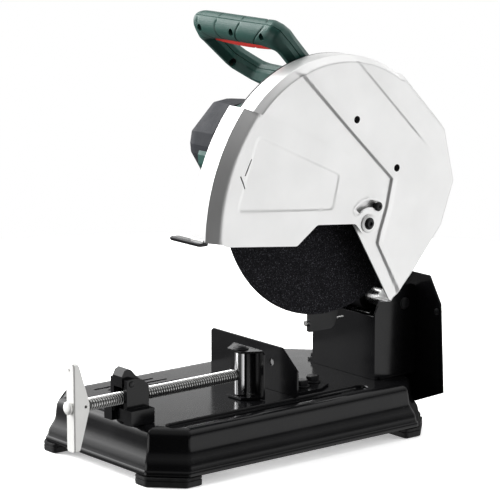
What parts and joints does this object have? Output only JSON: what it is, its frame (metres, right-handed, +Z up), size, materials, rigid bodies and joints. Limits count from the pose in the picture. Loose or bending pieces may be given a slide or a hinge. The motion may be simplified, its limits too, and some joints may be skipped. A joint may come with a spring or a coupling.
{
  "type": "abrasive chop saw",
  "caption": "Bench-top abrasive chop saw: swinging head with a guarded wheel and D handle over a pressed base with a screw vise and a swivelling fence.",
  "frame": {"origin": "on the floor, under the middle of the whole machine's bounding box", "axes": "+Z up; +Y from the operator towards the back; +X to the operator's right, the side the wheel is on"},
  "size_m": [0.3168, 0.6176, 0.608],
  "materials": {
    "gloss_black_paint": "gloss black enamel on pressed steel",
    "white_powder_coat": "satin white powder coat with a fine grain",
    "green_plastic": "fine-grained glass-filled nylon",
    "black_plastic": "fine-grained",
    "red_plastic": "fine-grained",
    "rubber": "moulded",
    "zinc_steel": "bright zinc or ground steel",
    "black_steel": "black oxide or semi-gloss paint",
    "cast_aluminium": "as die cast",
    "abrasive": "gritty resin-bonded abrasive",
    "copper_winding": "varnished copper and laminated steel",
    "pale_coated_steel": "pale grey passivated sheet"
  },
  "bodies": {
    "stand": {"base_shell": "gloss_black_paint", "foot_front_right": "rubber", "foot_front_left": "rubber", "foot_rear_right": "rubber", "foot_rear_left": "rubber", "fence_pivot_bolt": "black_steel", "fence_clamp_bolt": "black_steel", "vise_body": "black_steel", "half_nut_pin": "black_steel", "pivot_bracket": "gloss_black_paint", "spark_plate": "gloss_black_paint", "pivot_shaft": "zinc_steel", "pivot_spacer": "zinc_steel", "return_spring": "black_steel"},
    "fence": {"fence": "gloss_black_paint"},
    "lock_pin": {"lock_pin": "zinc_steel"},
    "half_nut": {"half_nut_lever": "black_steel"},
    "jaw_carriage": {"jaw_pin": "zinc_steel", "jaw_pin_cap": "black_steel"},
    "jaw": {"jaw": "gloss_black_paint"},
    "screw": {"vise_screw": "zinc_steel", "vise_handle": "pale_coated_steel", "vise_handle_rivet": "zinc_steel"},
    "head": {"swing_arm": "black_steel", "stop_bolt": "zinc_steel", "gear_case": "cast_aluminium", "gear_cover": "cast_aluminium", "motor_housing": "green_plastic", "motor_end_cap": "black_plastic", "stator": "copper_winding", "rear_bearing": "zinc_steel", "front_bearing": "zinc_steel", "spindle_bearing": "zinc_steel", "fixed_guard": "white_powder_coat", "guard_back_plate": "white_powder_coat", "guard_pivot_bolt": "black_steel", "guard_stop_bolt": "black_steel", "handle_front_half": "green_plastic", "handle_back_half": "green_plastic", "handle_bracket": "green_plastic", "trigger_switch": "black_plastic", "brush_cap_front": "black_plastic", "brush_cap_rear": "black_plastic", "cable_gland": "black_plastic"},
    "front_guard": {"front_guard": "white_powder_coat", "lift_bar": "black_plastic"},
    "spindle": {"spindle": "zinc_steel", "inner_flange": "zinc_steel", "outer_flange": "zinc_steel", "cutting_wheel": "abrasive", "wheel_bolt": "black_steel", "ring_gear": "zinc_steel"},
    "rotor": {"motor_rotor": "copper_winding", "cooling_fan": "black_plastic", "pinion": "zinc_steel"},
    "trigger": {"trigger": "red_plastic"},
    "lock_button": {"spindle_lock_button": "black_plastic"}
  },
  "joints": [
    {"name": "head_pivot", "type": "hinge", "parent": "stand", "child": "head", "pos_m": [0, 0.25175, 0.181], "axis": [1, 0, 0], "range_deg": [0, 33], "stiffness_Nm_per_rad": 75, "springref_deg": -20.63},
    {"name": "spindle_spin", "type": "hinge", "parent": "head", "child": "spindle", "pos_m": [0, 0.08875, 0.37], "axis": [1, 0, 0], "continuous": true},
    {"name": "rotor_spin", "type": "hinge", "parent": "head", "child": "rotor", "pos_m": [0, 0.10875, 0.4], "axis": [1, 0, 0], "continuous": true},
    {"name": "front_guard_lift", "type": "hinge", "parent": "head", "child": "front_guard", "pos_m": [0, 0.13675, 0.319], "axis": [1, 0, 0], "range_deg": [-75, 0]},
    {"name": "trigger_press", "type": "slide", "parent": "head", "child": "trigger", "axis": [0, -0.7001, 0.7141], "range_m": [0, 0.0038], "stiffness_N_per_m": 600, "springref_m": -0.004},
    {"name": "spindle_lock_press", "type": "slide", "parent": "head", "child": "lock_button", "axis": [0, 1, 0], "range_m": [0, 0.004], "stiffness_N_per_m": 500, "springref_m": -0.004},
    {"name": "screw_turn", "type": "hinge", "parent": "jaw_carriage", "child": "screw", "pos_m": [0.055, -0.01225, 0.1095], "axis": [0, 1, 0], "range_deg": [-12600, 1800]},
    {"name": "jaw_slide", "type": "slide", "parent": "stand", "child": "jaw_carriage", "axis": [0, 1, 0], "range_m": [-0.1402, 0.0202]},
    {"name": "jaw_swivel", "type": "hinge", "parent": "jaw_carriage", "child": "jaw", "pos_m": [0.055, -0.01225, 0.1095], "axis": [0, 0, 1], "range_deg": [-45, 45]},
    {"name": "half_nut_lift", "type": "hinge", "parent": "stand", "child": "half_nut", "pos_m": [0.055, -0.21425, 0.131], "axis": [1, 0, 0], "range_deg": [0, 40]},
    {"name": "fence_swivel", "type": "hinge", "parent": "stand", "child": "fence", "pos_m": [0.07, 0.08575, 0.076], "axis": [0, 0, 1], "range_deg": [-45, 0]},
    {"name": "lock_pin_slide", "type": "slide", "parent": "stand", "child": "lock_pin", "axis": [1, 0, 0], "range_m": [-0.03, 0]}
  ],
  "couplings": [
    {"joint": "rotor_spin", "follows": "spindle_spin", "ratio": -3.8182},
    {"joint": "jaw_slide", "follows": "screw_turn", "m_per_rad": 0.00063662}
  ]
}
